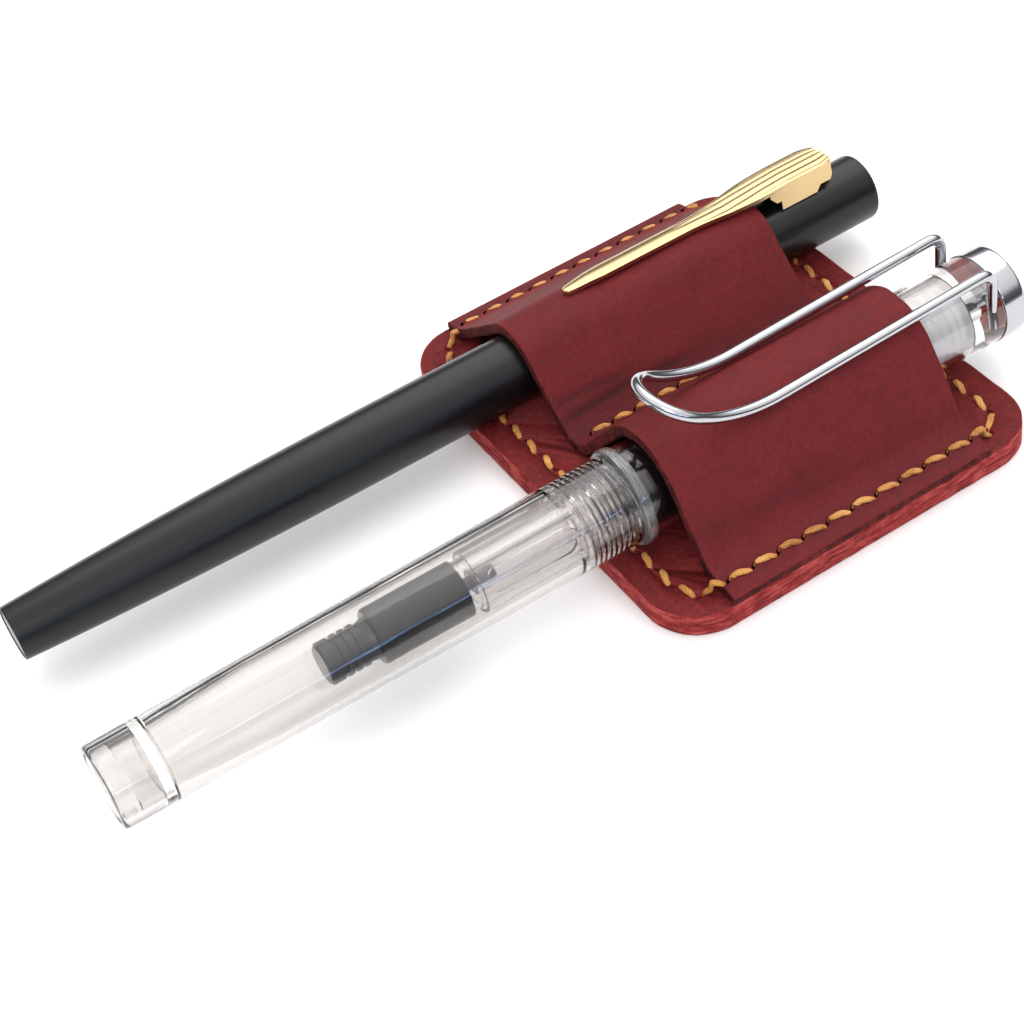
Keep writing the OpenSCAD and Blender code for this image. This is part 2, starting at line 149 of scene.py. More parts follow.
def leather_face(name, dark, base, light, rough, marks=False):
    """Waxed grain side. With marks, two of the mesh's own attributes recolour it: one darkens it with painted
    shade in creases and hollows and a little random tone, the other lightens a line along a fold.
    """
    material, nt, shader = new_material(name)
    grain = add_group(nt, hide_grain)
    colour = ramp(nt, grain.outputs["Mottle"], (0.32, srgb(dark)), (0.5, srgb(base)), (0.7, srgb(light)))
    if marks:
        tone_and_painted_shade = add_node(nt, "Attribute", {"attribute_name": "tone_and_painted_shade"})
        fold_streak = add_node(nt, "Attribute", {"attribute_name": "fold_streak"})
        # The first mask is painted shade in the wrinkles, the seam's valley and along the sewn edges, with a
        # little random tone. The second is a lighter line painted along a fold.
        for mask, shade in ((tone_and_painted_shade, "360b0f"), (fold_streak, "9c2629")):
            mix = add_node(nt, "Mix", {"data_type": "RGBA"}, Factor=mask.outputs["Fac"])
            nt.links.new(colour, mix.inputs[6])
            mix.inputs[7].default_value = srgb(shade)
            colour = mix.outputs[2]
    wire_up(nt, shader.inputs["Base Color"], colour)
    roughness = add_node(nt, "MapRange", Value=grain.outputs["Mottle"])
    roughness.inputs["To Min"].default_value = rough - 0.08
    roughness.inputs["To Max"].default_value = rough + 0.1
    wire_up(nt, shader.inputs["Roughness"], roughness.outputs["Result"])
    bump = add_node(nt, "Bump", Strength=0.5, Distance=0.00013, Height=grain.outputs["Height"])
    wire_up(nt, shader.inputs["Normal"], bump.outputs["Normal"])
    shader.inputs["Specular IOR Level"].default_value = 0.22
    return material


def leather_cut_edge(name, dark, base, light, stretch):
    """Raw cut edge: fibres that lie along the hide, drawn out along X and Y and thin in Z."""
    material, nt, shader = new_material(name)
    place = add_node(nt, "TexCoord").outputs["Object"]
    drawn = add_node(nt, "Mapping", Vector=place, Scale=stretch)
    fibre = add_node(nt, "TexNoise", Vector=drawn.outputs["Vector"], Scale=900, Detail=5, Roughness=0.72)
    clump = add_node(nt, "TexNoise", Vector=place, Scale=420, Detail=3, Roughness=0.6)
    mix = add_node(nt, "Mix", {"data_type": "FLOAT"}, Factor=0.3)
    nt.links.new(fibre.outputs["Fac"], mix.inputs["A"])
    nt.links.new(clump.outputs["Fac"], mix.inputs["B"])
    wire_up(nt, shader.inputs["Base Color"], ramp(nt, mix.outputs["Result"], (0.36, srgb(dark)),
            (0.5, srgb(base)), (0.64, srgb(light))))
    bump = add_node(nt, "Bump", Strength=0.8, Distance=0.00025, Height=mix.outputs["Result"])
    wire_up(nt, shader.inputs["Normal"], bump.outputs["Normal"])
    shader.inputs["Roughness"].default_value = 0.85
    shader.inputs["Specular IOR Level"].default_value = 0.2
    return material


def piece(name, bm, body, slot, replaced, *materials, sharp=40):
    """Turns a bmesh in millimetres into a piece that rides on a body and stands for CAD nodes."""
    bmesh.ops.scale(bm, vec=(MM, MM, MM), verts=bm.verts)
    mesh = bpy.data.meshes.new(name)
    bm.to_mesh(mesh)
    bm.free()
    mesh.shade_smooth()
    mesh.set_sharp_from_angle(angle=math.radians(sharp))
    for material in materials:
        mesh.materials.append(material)
    obj = bpy.data.objects.new(name, mesh)
    bpy.context.scene.collection.objects.link(obj)
    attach(obj, body)
    if replaced:
        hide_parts(*replaced)
    return obj


def apply_modifiers(obj):
    """Leaves the finished mesh in place of the object's modifiers."""
    graph = bpy.context.evaluated_depsgraph_get()
    mesh = bpy.data.meshes.new_from_object(obj.evaluated_get(graph))
    obj.modifiers.clear()
    old = obj.data
    obj.data = mesh
    bpy.data.meshes.remove(old)
    mesh.name = obj.name


back_low, back_high = box_mm("back_layer")
front_low, front_high = box_mm("front_layer")
case_half_w, case_half_l = front_high.x, front_high.y
case_top = front_high.z
case_corner = 8.0
SIDE_INSET, END_INSET = 3.0, 4.25
corner_r = case_corner - SIDE_INSET
line_w = case_half_w - SIDE_INSET - corner_r
line_h = case_half_l - END_INSET - corner_r


CUT_INSET, CUT_WANDER, EDGE_EASE = 0.10, 0.10, 0.32


def moved_verts(geom):
    """The vertices among what an operator made."""
    return [v for v in geom if isinstance(v, bmesh.types.BMVert)]


def backing_layer(low, high):
    """One layer as a slab with round corners, soft edges and a slightly wandering cut."""
    bm = bmesh.new()
    bmesh.ops.create_grid(bm, x_segments=1, y_segments=1, size=0.5)
    bmesh.ops.scale(bm, vec=(2 * case_half_w, 2 * case_half_l, 1), verts=bm.verts)
    bmesh.ops.translate(bm, vec=(0, 0, low), verts=bm.verts)
    bmesh.ops.bevel(bm, geom=list(bm.verts), offset=case_corner, offset_type="OFFSET", segments=14,
                    profile=0.5, affect="VERTICES", material=-1, clamp_overlap=True)
    long_edges = [e for e in bm.edges if e.calc_length() > 20]
    bmesh.ops.subdivide_edges(bm, edges=long_edges, cuts=44)
    face = max(bm.faces, key=lambda f: f.calc_area())
    raised = bmesh.ops.extrude_face_region(bm, geom=[face])["geom"]
    bmesh.ops.translate(bm, vec=(0, 0, high - low), verts=moved_verts(raised))
    for v in bm.verts:
        wander = CUT_WANDER * noise.noise(Vector((v.co.x, v.co.y, 0)) * 0.5)
        out = Vector((v.co.x, v.co.y, 0)).normalized()
        v.co -= out * (CUT_INSET + wander)
    bmesh.ops.recalc_face_normals(bm, faces=bm.faces)
    rim = [e for e in bm.edges if len(e.link_faces) == 2 and abs(e.calc_face_angle(0)) > 1.2]
    bmesh.ops.bevel(bm, geom=rim, offset=EDGE_EASE, offset_type="OFFSET", segments=3, profile=0.5,
                    affect="EDGES", material=-1)
    for f in bm.faces:
        f.material_index = 0 if abs(f.normal.z) > 0.95 else 1
    return bm


def rounded_line(s):
    """The stitch line's right half: a point s mm from the middle of its lower end."""
    r, bend = corner_r, math.pi * corner_r / 2
    if s < line_w:
        return Vector((s, -line_h - r, 0))
    if s < line_w + bend:
        turn = (s - line_w) / r - math.pi / 2
        return Vector((line_w + r * math.cos(turn), -line_h + r * math.sin(turn), 0))
    if s < line_w + bend + 2 * line_h:
        return Vector((line_w + r, s - line_w - bend - line_h, 0))
    if s < line_w + 2 * bend + 2 * line_h:
        turn = (s - line_w - bend - 2 * line_h) / r
        return Vector((line_w + r * math.cos(turn), line_h + r * math.sin(turn), 0))
    return Vector((2 * line_w + 2 * bend + 2 * line_h - s, line_h + r, 0))


SIDE_FIRST_Y = -20.75
SIDE_PITCH, SIDE_COUNT, END_COUNT = 4.0, 10, 9
line_half = 2 * (line_w + line_h) + math.pi * corner_r
side_start = line_w + math.pi * corner_r / 2 + SIDE_FIRST_Y + line_h
side_end = side_start + SIDE_COUNT * SIDE_PITCH


def hole_distance(k):
    """How far along the half line stitch hole k lies."""
    if k <= END_COUNT:
        return side_start * k / END_COUNT
    if k <= END_COUNT + SIDE_COUNT:
        return side_start + (k - END_COUNT) * SIDE_PITCH
    return side_end + (line_half - side_end) * (k - END_COUNT - SIDE_COUNT) / END_COUNT


half_holes = [rounded_line(hole_distance(k)) for k in range(2 * END_COUNT + SIDE_COUNT + 1)]
mirror_x = Vector((-1, 1, 1))
perimeter = half_holes + [p * mirror_x for p in half_holes[-2:0:-1]]
seam_low, seam_high = box_mm("centre_thread")
seam_x = (seam_low.x + seam_high.x) / 2
SEAM_COUNT = 10
SEAM_LEG_R = 0.28
seam_pitch = (seam_high.y - seam_low.y - 2 * SEAM_LEG_R) / SEAM_COUNT
seam = [Vector((seam_x, seam_low.y + SEAM_LEG_R + k * seam_pitch, 0)) for k in range(SEAM_COUNT + 1)]


AWL_SLANT = math.radians(52)
AWL_LONG, AWL_THIN = 0.85, 0.36
AWL_DEPTH, AWL_MID_Z = 12, 4.5


def awl_cutter(name):
    """Slanted diamond holes that a stitching awl leaves, as one cutting shape."""
    bm = bmesh.new()
    rows = [(perimeter, True), (seam, False)]
    for row, closed in rows:
        for k, p in enumerate(row):
            ahead = row[(k + 1) % len(row)] if closed or k + 1 < len(row) else row[k]
            behind = row[k - 1] if closed or k > 0 else row[k]
            along = (ahead - behind).normalized()
            turn = math.atan2(along.y, along.x) + AWL_SLANT
            made = bmesh.ops.create_cone(bm, cap_ends=True, segments=4, radius1=1, radius2=1, depth=AWL_DEPTH)
            place = Matrix.Translation((p.x, p.y, AWL_MID_Z)) @ Matrix.Rotation(turn, 4, "Z")
            place = place @ Matrix.Diagonal((AWL_LONG, AWL_THIN, 1, 1))
            bmesh.ops.transform(bm, matrix=place, verts=made["verts"])
    for f in bm.faces:
        f.material_index = 1
    bmesh.ops.scale(bm, vec=(MM, MM, MM), verts=bm.verts)
    mesh = bpy.data.meshes.new(name)
    bm.to_mesh(mesh)
    bm.free()
    cutter = bpy.data.objects.new(name, mesh)
    bpy.context.scene.collection.objects.link(cutter)
    return cutter


cutter = awl_cutter("awl_holes")


def punch(obj):
    """Cuts the awl holes through a piece."""
    cut = obj.modifiers.new("awl", "BOOLEAN")
    cut.object = cutter
    cut.operation = "DIFFERENCE"
    cut.solver = "MANIFOLD"
    apply_modifiers(obj)


front_face = leather_face("backing_leather", "521416", "691b1c", "7d2627", 0.7)
back_face = leather_face("backing_underside", "3c0d10", "54171a", "6e2426", 0.8)
backing_edge = leather_cut_edge("backing_cut_edge", "5c1516", "93302f", "bd5753", (0.4, 0.4, 2.2))
back_piece = piece("back_leather", backing_layer(back_low.z, back_high.z), "case", "leather_back",
                   ["back_layer"], back_face, backing_edge)
front_piece = piece("front_leather", backing_layer(front_low.z, front_high.z), "case", "leather_front",
                    ["front_layer"], front_face, backing_edge)
for layer in (back_piece, front_piece):
    punch(layer)

# ---- Loop panel ----
# One strip of thinner, softer leather laid over both pens and sewn down at its two edges and along
# the middle. It bends up out of each seam, lies round the pens' tops, and its cut edges stay raw.

panel_low, panel_high = box_mm("loop_panel")
PANEL_T = 1.6
black_low, black_high = box_mm("black_cap_tube")
clear_low, clear_high = box_mm("clear_cap_tube")
black_x, black_z = (black_low.x + black_high.x) / 2, (black_low.z + black_high.z) / 2
clear_x, clear_z = (clear_low.x + clear_high.x) / 2, (clear_low.z + clear_high.z) / 2
# Each loop's axis, its inner radius, and how far out its left and right foot stand
LOOPS = [(black_x, black_z, 5.45, 16.2, 12.8), (clear_x, clear_z, 7.15, 15.8, 12.9)]
FOOT_BEND = 3.4
FLANGE_BEND, SEAM_BEND = 2.6, 1.3


def bend_through(a, corner, b, steps=8):
    """Points of a soft bend from a to b about a corner."""
    points = []
    for i in range(steps + 1):
        t = i / steps
        points.append(a * (1 - t) ** 2 + corner * 2 * t * (1 - t) + b * t * t)
    return points


def panel_path():
    """The panel's middle surface seen from the end: flange, loop, seam, loop, flange."""
    z = case_top + PANEL_T / 2
    path = [Vector((-case_half_w + 0.1, z))]
    for x, axis_z, inner, left, right in LOOPS:
        r = inner + PANEL_T / 2
        centre = Vector((x, axis_z))
        ends = []
        for side, reach in ((-1, left), (1, right)):
            rise = axis_z - case_top
            angle = math.atan2(rise, reach) + math.asin(inner / math.hypot(reach, rise))
            foot = Vector((x + side * (reach + PANEL_T / 2 * math.tan(angle / 2)), z))
            touch = centre + Vector((side * r * math.sin(angle), r * math.cos(angle)))
            up = (touch - foot).normalized()
            ends.append((foot, touch, up, angle))
        (foot, touch, up, angle), (foot2, touch2, up2, angle2) = ends
        path += bend_through(foot - Vector((FLANGE_BEND, 0)), foot, foot + up * FOOT_BEND)
        for i in range(1, 7):
            path.append((foot + up * FOOT_BEND).lerp(touch, i / 7))
        for i in range(37):
            turn = -angle + (angle + angle2) * i / 36
            path.append(centre + r * Vector((math.sin(turn), math.cos(turn))))
        for i in range(1, 7):
            path.append(touch2.lerp(foot2 + up2 * FOOT_BEND, i / 7))
        last_bend = SEAM_BEND if x < 0 else FLANGE_BEND
        path += bend_through(foot2 + up2 * FOOT_BEND, foot2, foot2 + Vector((last_bend, 0)))
    path.append(Vector((case_half_w - 0.1, z)))
    return spaced(path, 0.42)


def spaced(path, step):
    """The same line with points an even step apart."""
    points, left = [path[0]], step
    for a, b in zip(path, path[1:]):
        length = (b - a).length
        done = 0.0
        while length - done >= left:
            done += left
            points.append(a.lerp(b, done / length))
            left = step
        left -= length - done
    if (points[-1] - path[-1]).length < step / 2:
        points.pop()
    points.append(path[-1])
    return points


def crease_depth(x, y):
    """Shallow wrinkles beside the middle and right-hand seams: place, width, both ends and depth."""
    depth = 0.0
    for x0, width, y0, y1, amount in ((-4.6, 0.55, -24, 2, 0.16), (-6.1, 0.5, -24, -6, 0.12),
                                      (-3.3, 0.4, -20, 14, 0.12), (2.9, 0.5, -14, 22, 0.10),
                                      (27.4, 0.7, -24, 6, 0.06), (28.6, 0.6, -10, 22, 0.05)):
        wander = 0.9 * noise.noise(Vector((x0, y * 0.09, 3.0)))
        near = math.exp(-((x - x0 - wander) / width) ** 2)
        ends = min(1, max(0, (y - y0) / 5)) * min(1, max(0, (y1 - y) / 6))
        depth += amount * near * ends
    return depth


def panel_sheet():
    """The panel's middle surface as a fine sheet with soft waves, a lighter line painted along a fold, and
    painted shade in its wrinkles, seam valley and sewn edges.
    """
    bm = bmesh.new()
    path = panel_path()
    verts = [bm.verts.new((p.x, panel_low.y, p.y)) for p in path]
    edges = [bm.edges.new(pair) for pair in zip(verts, verts[1:])]
    made = bmesh.ops.extrude_edge_only(bm, edges=edges)["geom"]
    bmesh.ops.translate(bm, vec=(0, panel_high.y - panel_low.y, 0), verts=moved_verts(made))
    along = [e for e in bm.edges if abs(e.verts[0].co.y - e.verts[1].co.y) > 1]
    bmesh.ops.subdivide_edges(bm, edges=along, cuts=84, use_grid_fill=True)
    bmesh.ops.recalc_face_normals(bm, faces=bm.faces)
    if sum(f.normal.z for f in bm.faces) < 0:
        bmesh.ops.reverse_faces(bm, faces=bm.faces)
    bm.normal_update()
    fold_streak = bm.verts.layers.float.new("fold_streak")
    tone_and_painted_shade = bm.verts.layers.float.new("tone_and_painted_shade")
    middle_y = (panel_low.y + panel_high.y) / 2
    for v in bm.verts:
        x, y, z = v.co
        free = min(1.0, max(0.0, (z - case_top - PANEL_T) / 3))
        depth = crease_depth(x, y) * min(1, free * 3)
        slow = noise.noise(Vector((x, y, z)) * 0.11)
        quick = noise.noise(Vector((x, y, z)) * 0.32)
        # Painted shade: darker in the wrinkles, in the middle seam's valley and along the sewn side lines,
        # plus a little random tone from quick.
        valley = math.exp(-((x - seam_x) / 3.6) ** 2)
        sewn = math.exp(-((abs(x) - case_half_w + SIDE_INSET) / 1.3) ** 2)
        v[tone_and_painted_shade] = min(1.0, depth * 4.5 + max(0, -quick) * 0.12 + 0.5 * valley + 0.4 * sewn)
        # A lighter line painted along the black loop's left fold, patchy along its length.
        patchiness = 0.6 + 0.5 * noise.noise(Vector((x, y * 0.4, 0)))
        fold = math.exp(-((x - LOOPS[0][0] + 15.6) / 0.8) ** 2) * patchiness
        v[fold_streak] = min(0.75, max(0.0, fold) * 0.6)
        outward = 0.10 * slow + 0.05 * quick - depth
        v.co += v.normal * outward * (0.25 + 0.75 * free)
        edge = abs(y - middle_y) / (panel_high.y - middle_y)
        if edge > 0.999:
            uneven = 0.14 * noise.noise(Vector((x * 0.35, y, 0))) - 0.12
            v.co.y += uneven * math.copysign(1, y - middle_y)
    return bm


panel_face = leather_face("loop_leather", "56151a", "64181b", "721e22", 0.66, marks=True)
panel_edge = leather_cut_edge("loop_cut_edge", "24070a", "46110f", "6e2022", (1, 1, 1))
panel = piece("loop_leather", panel_sheet(), "case", "leather_loop", ["loop_panel"], panel_face, panel_edge)
shell = panel.modifiers.new("thickness", "SOLIDIFY")
shell.thickness = PANEL_T * MM
shell.offset = 0
shell.material_offset_rim = 1
apply_modifiers(panel)
SKIVE_W, SKIVE_T = 2.6, 0.55
for v in panel.data.vertices:
    beyond = (abs(v.co.x) * PER_METRE - case_half_w + SKIVE_W) / SKIVE_W
    if beyond > 0 and v.co.z * PER_METRE > case_top + PANEL_T / 2:
        v.co.z -= MM * SKIVE_T * beyond ** 2
soften = panel.modifiers.new("edges", "BEVEL")
soften.width = 0.22 * MM
soften.segments = 2
soften.limit_method = "ANGLE"
soften.angle_limit = math.radians(50)
apply_modifiers(panel)
punch(panel)
bpy.data.objects.remove(cutter)

# ---- Stitching ----
# Waxed golden polyester thread, a few plies twisted together, sewn by hand with two needles. Each
# stitch leaves one end of a slanted hole and dives into the far end of the next one.

THREAD_R = 0.3
STITCH_GAP, STITCH_SLANT, STITCH_RISE, PLY_SPREAD = 0.4, 0.42, 0.84, 0.22
STITCH_SINK, UNDER_HOLE_Z, UNDER_Z, UNDER_RISE = 0.62, 0.95, 0.62, 0.24
TOP_OF_PANEL = case_top + PANEL_T


def leather_height(p):
    """Height of the leather under a stitch hole."""
    on_panel = panel_low.y < p.y < panel_high.y and (abs(p.x) > case_half_w - 5 or abs(p.x - seam_x) < 1)
    return TOP_OF_PANEL if on_panel else case_top


def stitch_curve(name):
    curve = bpy.data.curves.new(name, "CURVE")
    curve.dimensions = "3D"
    curve.bevel_depth = THREAD_R * MM
    curve.bevel_resolution = 2
    curve.use_fill_caps = True
    return curve


def add_ply(curve, points, radii):
    """One ply of a stitch as a spline of the curve."""
    spline = curve.splines.new("POLY")
    spline.points.add(len(points) - 1)
    for target, p, r in zip(spline.points, points, radii):
        target.co = (p.x * MM, p.y * MM, p.z * MM, 1)
        target.radius = r


def sew(curve, a, b, under, seed):
    """One stitch from hole a to hole b: three plies that twist about the stitch's own line."""
    along = Vector((b.x - a.x, b.y - a.y, 0)).normalized()
    side = Vector((-along.y, along.x, 0))
    za, zb = (UNDER_HOLE_Z, UNDER_HOLE_Z) if under else (leather_height(a), leather_height(b))
    slant = STITCH_SLANT + 0.06 * noise.noise(Vector((seed, 0.5, 0)))
    start = Vector((a.x, a.y, za)) + side * slant + along * STITCH_GAP
    end = Vector((b.x, b.y, zb)) - side * slant - along * STITCH_GAP
    steps = 14
    for ply in range(3):
        points, radii = [], []
        for i in range(steps + 1):
            t = i / steps
            p = start.lerp(end, t)
            rise = math.sin(math.pi * t) ** 0.5
            if under:
                p.z = UNDER_Z - UNDER_RISE * rise + 0.3 * (1 - rise)
            else:
                over = max(za, zb) if (t < 0.62 if za > zb else t > 0.38) else min(za, zb)
                p.z = max(p.z, over) - STITCH_SINK + STITCH_RISE * rise
            turn = 2 * math.pi * (ply / 3 + 0.6 * t + 0.13 * seed)
            flat = PLY_SPREAD * (0.35 + 0.65 * rise)
            p += side * flat * math.cos(turn) + Vector((0, 0, 0.10 * math.sin(turn)))
            points.append(p)
            radii.append(0.4 + 0.6 * rise)
        add_ply(curve, points, radii)


def thread_material():
    """Golden waxed thread: fine fibres along each ply, darker where wax and dirt gather."""
    material, nt, shader = new_material("waxed_thread")
    place = add_node(nt, "TexCoord").outputs["Object"]
    fibre = add_node(nt, "TexNoise", Vector=place, Scale=5200, Detail=3, Roughness=0.7)
    tone = add_node(nt, "TexNoise", Vector=place, Scale=260, Detail=2, Roughness=0.5)
    mix = add_node(nt, "Mix", {"data_type": "FLOAT"}, Factor=0.5)
    nt.links.new(fibre.outputs["Fac"], mix.inputs["A"])
    nt.links.new(tone.outputs["Fac"], mix.inputs["B"])
    wire_up(nt, shader.inputs["Base Color"], ramp(nt, mix.outputs["Result"], (0.36, srgb("7f4c22")),
            (0.5, srgb("c28038")), (0.64, srgb("e2b068"))))
    bump = add_node(nt, "Bump", Strength=0.7, Distance=0.00008, Height=fibre.outputs["Fac"])
    wire_up(nt, shader.inputs["Normal"], bump.outputs["Normal"])
    shader.inputs["Roughness"].default_value = 0.48
    shader.inputs["Sheen Weight"].default_value = 0.2
    shader.inputs["Sheen Tint"].default_value = srgb("ffe0a0")
    return material


thread = thread_material()


def thread_piece(name, node, row, closed):
    """A whole row of stitches, above and below the leather, as one piece."""
    curve = stitch_curve(name)
    pairs = list(zip(row, row[1:] + row[:1])) if closed else list(zip(row, row[1:]))
    for k, (a, b) in enumerate(pairs):
        sew(curve, a, b, False, k)
        sew(curve, a, b, True, k + 0.5)
    source = bpy.data.objects.new(name + "_curve", curve)
    bpy.context.scene.collection.objects.link(source)
    mesh = bpy.data.meshes.new_from_object(source)
    bpy.data.objects.remove(source)
    bpy.data.curves.remove(curve)
    bm = bmesh.new()
    bm.from_mesh(mesh)
    bpy.data.meshes.remove(mesh)
    bmesh.ops.remove_doubles(bm, verts=bm.verts, dist=1e-7)
    bmesh.ops.recalc_face_normals(bm, faces=bm.faces)
    bmesh.ops.scale(bm, vec=(PER_METRE, PER_METRE, PER_METRE), verts=bm.verts)
    return piece(name, bm, "case", "thread", [node], thread)


thread_piece("perimeter_stitches", "perimeter_thread", perimeter, True)
thread_piece("seam_stitches", "centre_thread", seam, False)

# ---- Black pen ----
# Slim pen in satin black plastic, turned and lightly polished, with a pale plug in the barrel's end.
# The cap has a crown disc pressed into its top.


def outline(*corners, steps=6):
    """A closed outline of (radius, y) corners, where a third value rounds the corner off."""
    points = []
    for i, corner in enumerate(corners):
        p = Vector(corner[:2])
        if len(corner) == 2:
            points.append(p)
            continue
        before, after = Vector(corners[i - 1][:2]), Vector(corners[(i + 1) % len(corners)][:2])
        a = p + (before - p).normalized() * min(corner[2], (before - p).length * 0.49)
        b = p + (after - p).normalized() * min(corner[2], (after - p).length * 0.49)
        points += bend_through(a, p, b, steps)
    return points


def turned(points, x, z, steps=96):
    """Turns an outline about a pen's axis. Points are radius and place along Y."""
    bm = bmesh.new()
    verts = [bm.verts.new((x + p[0], p[1], z)) for p in points]
    edges = []
    for a, b in zip(verts, verts[1:] + verts[:1]):
        if abs(a.co.x - x) > 1e-6 or abs(b.co.x - x) > 1e-6:
            edges.append(bm.edges.new((a, b)))
    bmesh.ops.spin(bm, geom=verts + edges, cent=(x, 0, z), axis=(0, 1, 0), angle=2 * math.pi,
                   steps=steps, use_merge=True)
    bmesh.ops.remove_doubles(bm, verts=bm.verts, dist=1e-4)
    bmesh.ops.recalc_face_normals(bm, faces=bm.faces)
    return bm


def satin_plastic(name, colour, rough, speck=0.03):
    """Turned plastic: faint turning lines round the pen, and fine wear that varies the gloss."""
    material, nt, shader = new_material(name)
    place = add_node(nt, "TexCoord").outputs["Object"]
    lines = add_node(nt, "Mapping", Vector=place, Scale=(0.02, 1, 0.02))
    turning = add_node(nt, "TexNoise", Vector=lines.outputs["Vector"], Scale=4200, Detail=2)
    wear = add_node(nt, "TexNoise", Vector=place, Scale=320, Detail=6, Roughness=0.7)
    value = add_node(nt, "MapRange", Value=wear.outputs["Fac"])
    value.inputs["To Min"].default_value = rough - speck
    value.inputs["To Max"].default_value = rough + speck
    wire_up(nt, shader.inputs["Roughness"], value.outputs["Result"])
    tint = add_node(nt, "Mix", {"data_type": "RGBA"}, Factor=wear.outputs["Fac"])
    tint.inputs[6].default_value = tuple(c * 0.85 for c in srgb(colour)[:3]) + (1,)
    tint.inputs[7].default_value = tuple(c * 1.15 for c in srgb(colour)[:3]) + (1,)
    wire_up(nt, shader.inputs["Base Color"], tint.outputs[2])
    bump = add_node(nt, "Bump", Strength=0.12, Distance=0.00003, Height=turning.outputs["Fac"])
    wire_up(nt, shader.inputs["Normal"], bump.outputs["Normal"])
    shader.inputs["Specular IOR Level"].default_value = 0.36
    return material


satin_black = satin_plastic("satin_black", "0c0b0d", 0.3)
polished_black = satin_plastic("polished_black", "0e0e10", 0.12, 0.02)
pale_plastic = satin_plastic("pale_plastic", "9b9287", 0.5)

BLACK_R = black_high.x - black_x
black_lip, black_top = black_low.y, black_high.y
barrel_low, barrel_high = box_mm("black_barrel_tube")
TAIL_R = 3.87
TAPER_Y, TAPER_POWER = -45.0, 2.2


def barrel_radius(y):
    """Straight near the cap, then closing faster towards the end."""
    if y > TAPER_Y:
        return BLACK_R
    share = (TAPER_Y - y) / (TAPER_Y - barrel_low.y)
    return BLACK_R - (BLACK_R - TAIL_R) * share ** TAPER_POWER


CAP_BORE_R, CAP_BORE_END = 4.45, 34.5
CROWN_SEAT_R, CROWN_SEAT = 4.62, 38.2
black_cap = turned(outline((0, CAP_BORE_END), (CAP_BORE_R, CAP_BORE_END, 0.3),
                           (CAP_BORE_R, black_lip, 0.15), (BLACK_R, black_lip, 0.2),
                           (BLACK_R, black_top, 0.5), (CROWN_SEAT_R, black_top, 0.15),
                           (CROWN_SEAT_R, CROWN_SEAT), (0, CROWN_SEAT)), black_x, black_z)
piece("black_cap", black_cap, "black_cap", "black_plastic", ["black_cap_tube"], satin_black)
crown = turned(outline((0, CROWN_SEAT), (4.6, CROWN_SEAT), (4.6, 39.55, 0.25), (0, 39.35)), black_x, black_z)
piece("black_crown_disc", crown, "black_cap", "black_plastic", ["black_crown"], satin_black)

taper_step = (TAPER_Y - barrel_low.y - 0.5) / 40
taper = [(barrel_radius(y), y) for y in (TAPER_Y - i * taper_step for i in range(41))]
plug_seat = barrel_low.y + 1.4
MOUTH_R, MOUTH_END, BORE_R = 4.0, -30, 3.6
black_barrel = turned(outline((MOUTH_R, barrel_high.y, 0.15), (BLACK_R, barrel_high.y, 0.2), *taper,
                              (TAIL_R, barrel_low.y, 0.3), (3.5, barrel_low.y, 0.1), (3.5, plug_seat),
                              (1.6, plug_seat), (1.6, -90), (BORE_R, -84), (BORE_R, MOUTH_END),
                              (MOUTH_R, MOUTH_END)), black_x, black_z)
piece("black_barrel", black_barrel, "black_barrel", "black_plastic", ["black_barrel_tube"], satin_black)
plug_y = barrel_low.y + 0.15
plug_end = barrel_low.y + 1.35
plug = turned(outline((0, plug_y), (3.45, plug_y, 0.2), (3.45, plug_end), (1.5, plug_end),
                      (1.5, -93), (0, -93)), black_x, black_z)
piece("pale_end_plug", plug, "black_barrel", "pale_plug", ["black_end_plug"], pale_plastic)

# ---- Gold clip ----
# Pressed and folded from one strip of brass, fluted lengthwise, then plated in pale gold. The head is
# folded down over the cap, and its tang goes through a slot in the cap's wall.


def plated_metal(name, colour, rough, scratch=0.05):
    """Plated or polished metal with fine handling marks."""
    material, nt, shader = new_material(name)
    place = add_node(nt, "TexCoord").outputs["Object"]
    wear = add_node(nt, "TexNoise", Vector=place, Scale=700, Detail=6, Roughness=0.75)
    value = add_node(nt, "MapRange", Value=wear.outputs["Fac"])
    value.inputs["From Min"].default_value = 0.35
    value.inputs["From Max"].default_value = 0.7
    value.inputs["To Min"].default_value = rough
    value.inputs["To Max"].default_value = rough + scratch
    wire_up(nt, shader.inputs["Roughness"], value.outputs["Result"])
    shader.inputs["Base Color"].default_value = srgb(colour)
    shader.inputs["Metallic"].default_value = 1.0
    return material


pale_gold = plated_metal("pale_gold", "d0b587", 0.22, 0.04)
CLIP_TURN = math.radians(-9)
clip_low, clip_high = box_mm("gold_clip")
CLIP_IN = 7.65
CLIP_TIP, CLIP_END = clip_low.y, clip_high.y


def clip_half_width(y):
    """Half the blade's width: a rounded tip, a slim arm and a wider head."""
    arm = 0.62 + 0.95 * min(1, max(0, (y - CLIP_TIP) / 6)) ** 0.6
    t = min(1, max(0, (y - 9) / 14))
    width = arm + (3.25 - 1.57) * t * t * (3 - 2 * t)
    end = max(0, (y - CLIP_END + 2.5) / 2.5)
    return width - 0.9 * end * end


